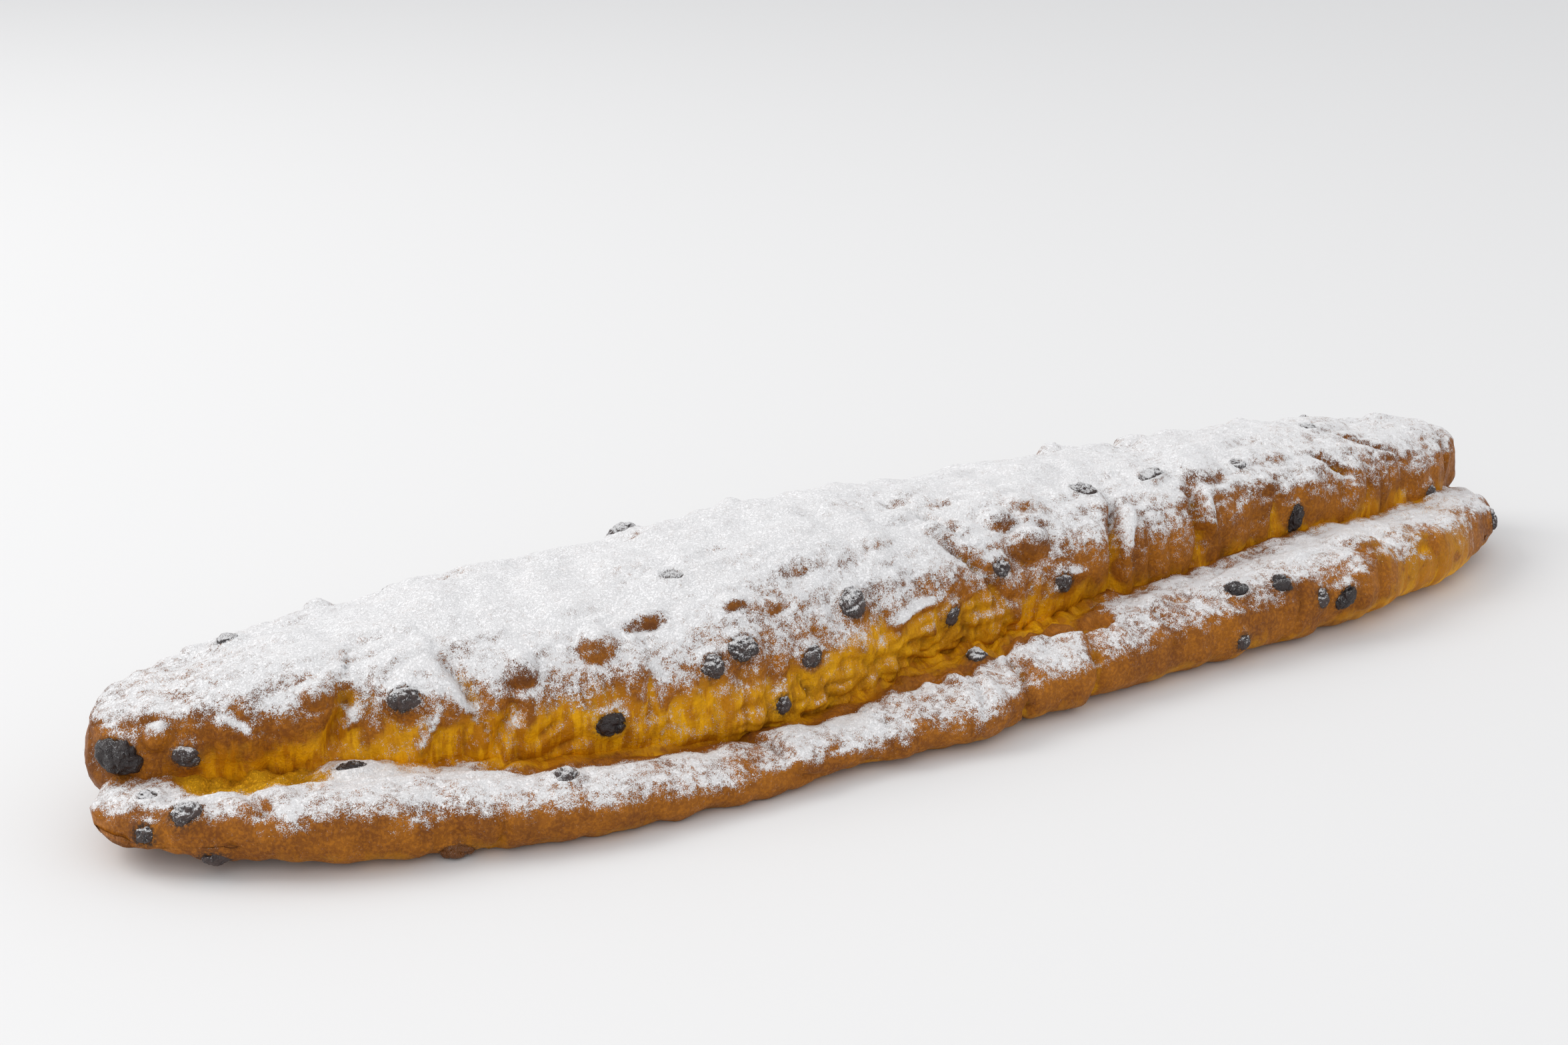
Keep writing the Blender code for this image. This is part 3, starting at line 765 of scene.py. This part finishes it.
def raisin_skin(shade):
    """Nearly black skin with a grey bloom in patches, shiny where it is bare."""
    bloom = shade.noise(240, 4.0, 0.65)
    fine = shade.noise(1500, 3.0, 0.6)
    dusty = shade.value("dusty")
    folds = shade.noise(420, 1.0, 0.4)
    greyed = (bloom * 0.6 + fine * 0.4) * (0.25 + dusty * 0.75)
    skin = shade.blend(greyed, BARE_SKIN, BLOOM_GREY)
    skin = shade.blend(shade.value("amber"), skin, AMBER_SKIN)
    powder = shade.noise(1900, 3.0, 0.75)
    fell = shade.value("sugar") * 0.80 + dusty * 0.12
    cover = ((fell - powder * 0.65 - bloom * 0.35) * 2.3 + 0.32).clamped()
    return {
        "Base Color": shade.blend(cover * 0.76, skin, SUGAR_WHITE),
        "Roughness": 0.20 + dusty * 0.30 + bloom * 0.12 + cover * 0.30,
        "Normal": shade.bump(fine * 0.5 + folds * 1.4 + cover * 0.5, RAISIN_BUMP, 0.8),
        "Specular IOR Level": 0.5,
    }


raisin_coat = new_material("raisin skin", raisin_skin)
AMBER = ("raisin_32",)
GLOSSY = (
    "raisin_01", "raisin_04", "raisin_17", "raisin_31",
    "raisin_32", "raisin_35", "raisin_36", "raisin_38")

for index, name in enumerate(raisin_names):
    bm = raisin_bms[name]
    for _ in range(3):
        bmesh.ops.subdivide_edges(bm, edges=bm.edges, cuts=1, use_grid_fill=True, smooth=1.0)
    bmesh.ops.recalc_face_normals(bm, faces=bm.faces)
    bm.normal_update()
    points = np.array([vertex.co for vertex in bm.verts])
    normals = np.array([vertex.normal for vertex in bm.verts])
    broad = ridges_at(points, 0.0062, 3.0 * index + 0.7)
    fine = ridges_at(points, 0.0029, 5.0 * index + 2.2)
    depth = (1 - smooth_step(broad, 0, 0.50)) + 0.45 * (1 - smooth_step(fine, 0, 0.55))
    dents = RAISIN_DENTS * noise_at(points, 0.0060, 9.0 * index + 4.4)
    points = points - normals * (RAISIN_CREASES * (depth - 0.30) + dents)[:, None]
    normals = move_points(bm, points)
    caught = smooth_step(sugar_on(points, normals) - 0.06, 0.15, 1.0) * (0.35 if name in GLOSSY else 1)
    raisin = finish_piece(name + "_wrinkled", bm, raisin_coat, [name])
    keep_values(
        raisin.data, sugar=caught, amber=np.full(len(points), float(name in AMBER)),
        dusty=np.full(len(points), 0.0 if name in GLOSSY else 1.0))

# ---------------------------------------------------------------- clots of sugar
# Damp icing sugar also gathers in small clots, which stand up from the sifted layer. Each is a
# few faces, and they lie thickest where the layers caught most sugar.
CLOTS = 16000
SMALLEST_CLOT, LARGEST_CLOT = 0.00009, 0.00026
CLOT_SPREAD = 0.0006


def scatter_clots(name, count, smallest, largest):
    """One mesh of small sugar clots, set on the layers where sugar was caught."""
    bm = bmesh.new()
    bmesh.ops.create_uvsphere(bm, u_segments=4, v_segments=2, radius=1)
    bmesh.ops.triangulate(bm, faces=bm.faces)
    shape = np.array([vertex.co for vertex in bm.verts])
    faces = np.array([[vertex.index for vertex in face.verts] for face in bm.faces])
    bm.free()
    places = np.concatenate([fold_points, lip_points])
    lip_caught = lip_sugar * (lip_angle > -20) * (lip_angle < 84)
    caught = np.concatenate([fold_sugar * (fold_angle > 0), lip_caught])
    clotted = caught * (0.25 + smooth_step(noise_at(places, 0.006, 41.0), -0.2, 0.5))
    chosen = random.choice(len(places), count, p=clotted / clotted.sum())
    spread = random.normal(0, CLOT_SPREAD, (count, 3)) * (1, 1, 0.2)
    size = smallest * (largest / smallest) ** random.random(count)
    turned = np.linalg.qr(random.normal(size=(count, 3, 3)))[0]
    grains = np.einsum("nij,kj->nki", turned, shape) * size[:, None, None] * (1, 1, 0.7)
    points = grains + (places[chosen] + spread)[:, None, :]
    corners = faces[None] + (np.arange(count) * len(shape))[:, None, None]
    mesh = bpy.data.meshes.new(name)
    mesh.from_pydata(points.reshape(-1, 3).tolist(), [], corners.reshape(-1, 3).tolist())
    return mesh


def sugar_clot(shade):
    return {
        "Base Color": shade.blend(shade.noise(900, 1.0), (0.86, 0.86, 0.87), (0.91, 0.91, 0.91)),
        "Roughness": 0.85,
        "Specular IOR Level": 0.2,
    }


clots = scatter_clots("sugar_clots", CLOTS, SMALLEST_CLOT, LARGEST_CLOT)
clot_bm = bmesh.new()
clot_bm.from_mesh(clots)
bmesh.ops.recalc_face_normals(clot_bm, faces=clot_bm.faces)
finish_piece("sugar_clots", clot_bm, new_material("icing sugar", sugar_clot), [])

# ---------------------------------------------------------------- floor, light and camera
# A pale floor without a corner, a broad soft light from the left behind the loaf with a weak one
# in front, and a camera that looks along the loaf's front from its left end.
FLOOR_SIZE, FLOOR_GAP = 80.0, 0.0002
FLOOR_GREY = (0.79, 0.79, 0.79, 1)
ROOM_COLOR, ROOM_STRENGTH = (0.98, 0.985, 1.0, 1), 0.84
LENS, SENSOR_WIDTH = 48, 36
CAMERA_TURN, CAMERA_DROP, CAMERA_DISTANCE = -28.8, 19.7, 1.0203
AIM = Vector((-0.002, 0.112, 0.035))

floor_bm = bmesh.new()
bmesh.ops.create_grid(floor_bm, x_segments=1, y_segments=1, size=FLOOR_SIZE / 2)
bmesh.ops.translate(floor_bm, verts=floor_bm.verts, vec=(0, 0, -FLOOR_GAP))
floor_mesh = bpy.data.meshes.new("floor")
floor_bm.to_mesh(floor_mesh)
floor_bm.free()
floor_mesh.materials.append(new_material("pale floor", lambda shade: {
    "Base Color": FLOOR_GREY, "Roughness": 0.75, "Specular IOR Level": 0.1}))
floor = bpy.data.objects.new("floor", floor_mesh)
bpy.context.scene.collection.objects.link(floor)

world = bpy.data.worlds.new("studio")
world.use_nodes = True
world.node_tree.nodes["Background"].inputs["Color"].default_value = ROOM_COLOR
world.node_tree.nodes["Background"].inputs["Strength"].default_value = ROOM_STRENGTH
bpy.context.scene.world = world


def soft_light(name, place, size, power, color):
    """A square area light at a place, turned to the loaf."""
    light = bpy.data.lights.new(name, "AREA")
    light.size, light.energy, light.color = size, power, color
    lamp = bpy.data.objects.new(name, light)
    lamp.location = place
    lamp.rotation_euler = Vector(place).to_track_quat("Z", "Y").to_euler()
    bpy.context.scene.collection.objects.link(lamp)


soft_light("window", (-2.1, 1.5, 2.3), 2.0, 46, (1.0, 0.99, 0.97))
soft_light("fill", (-1.6, -2.0, 1.9), 2.0, 12, (1.0, 0.99, 0.98))

camera = bpy.data.objects.new("camera", bpy.data.cameras.new("camera"))
camera.data.lens, camera.data.sensor_width = LENS, SENSOR_WIDTH
camera.data.clip_start, camera.data.clip_end = 0.01, 50
camera.rotation_euler = (radians(90 - CAMERA_DROP), 0, radians(CAMERA_TURN))
camera.location = AIM + camera.rotation_euler.to_matrix() @ Vector((0, 0, CAMERA_DISTANCE))
bpy.context.scene.collection.objects.link(camera)
bpy.context.scene.camera = camera
bpy.context.scene.view_settings.view_transform = "Standard"
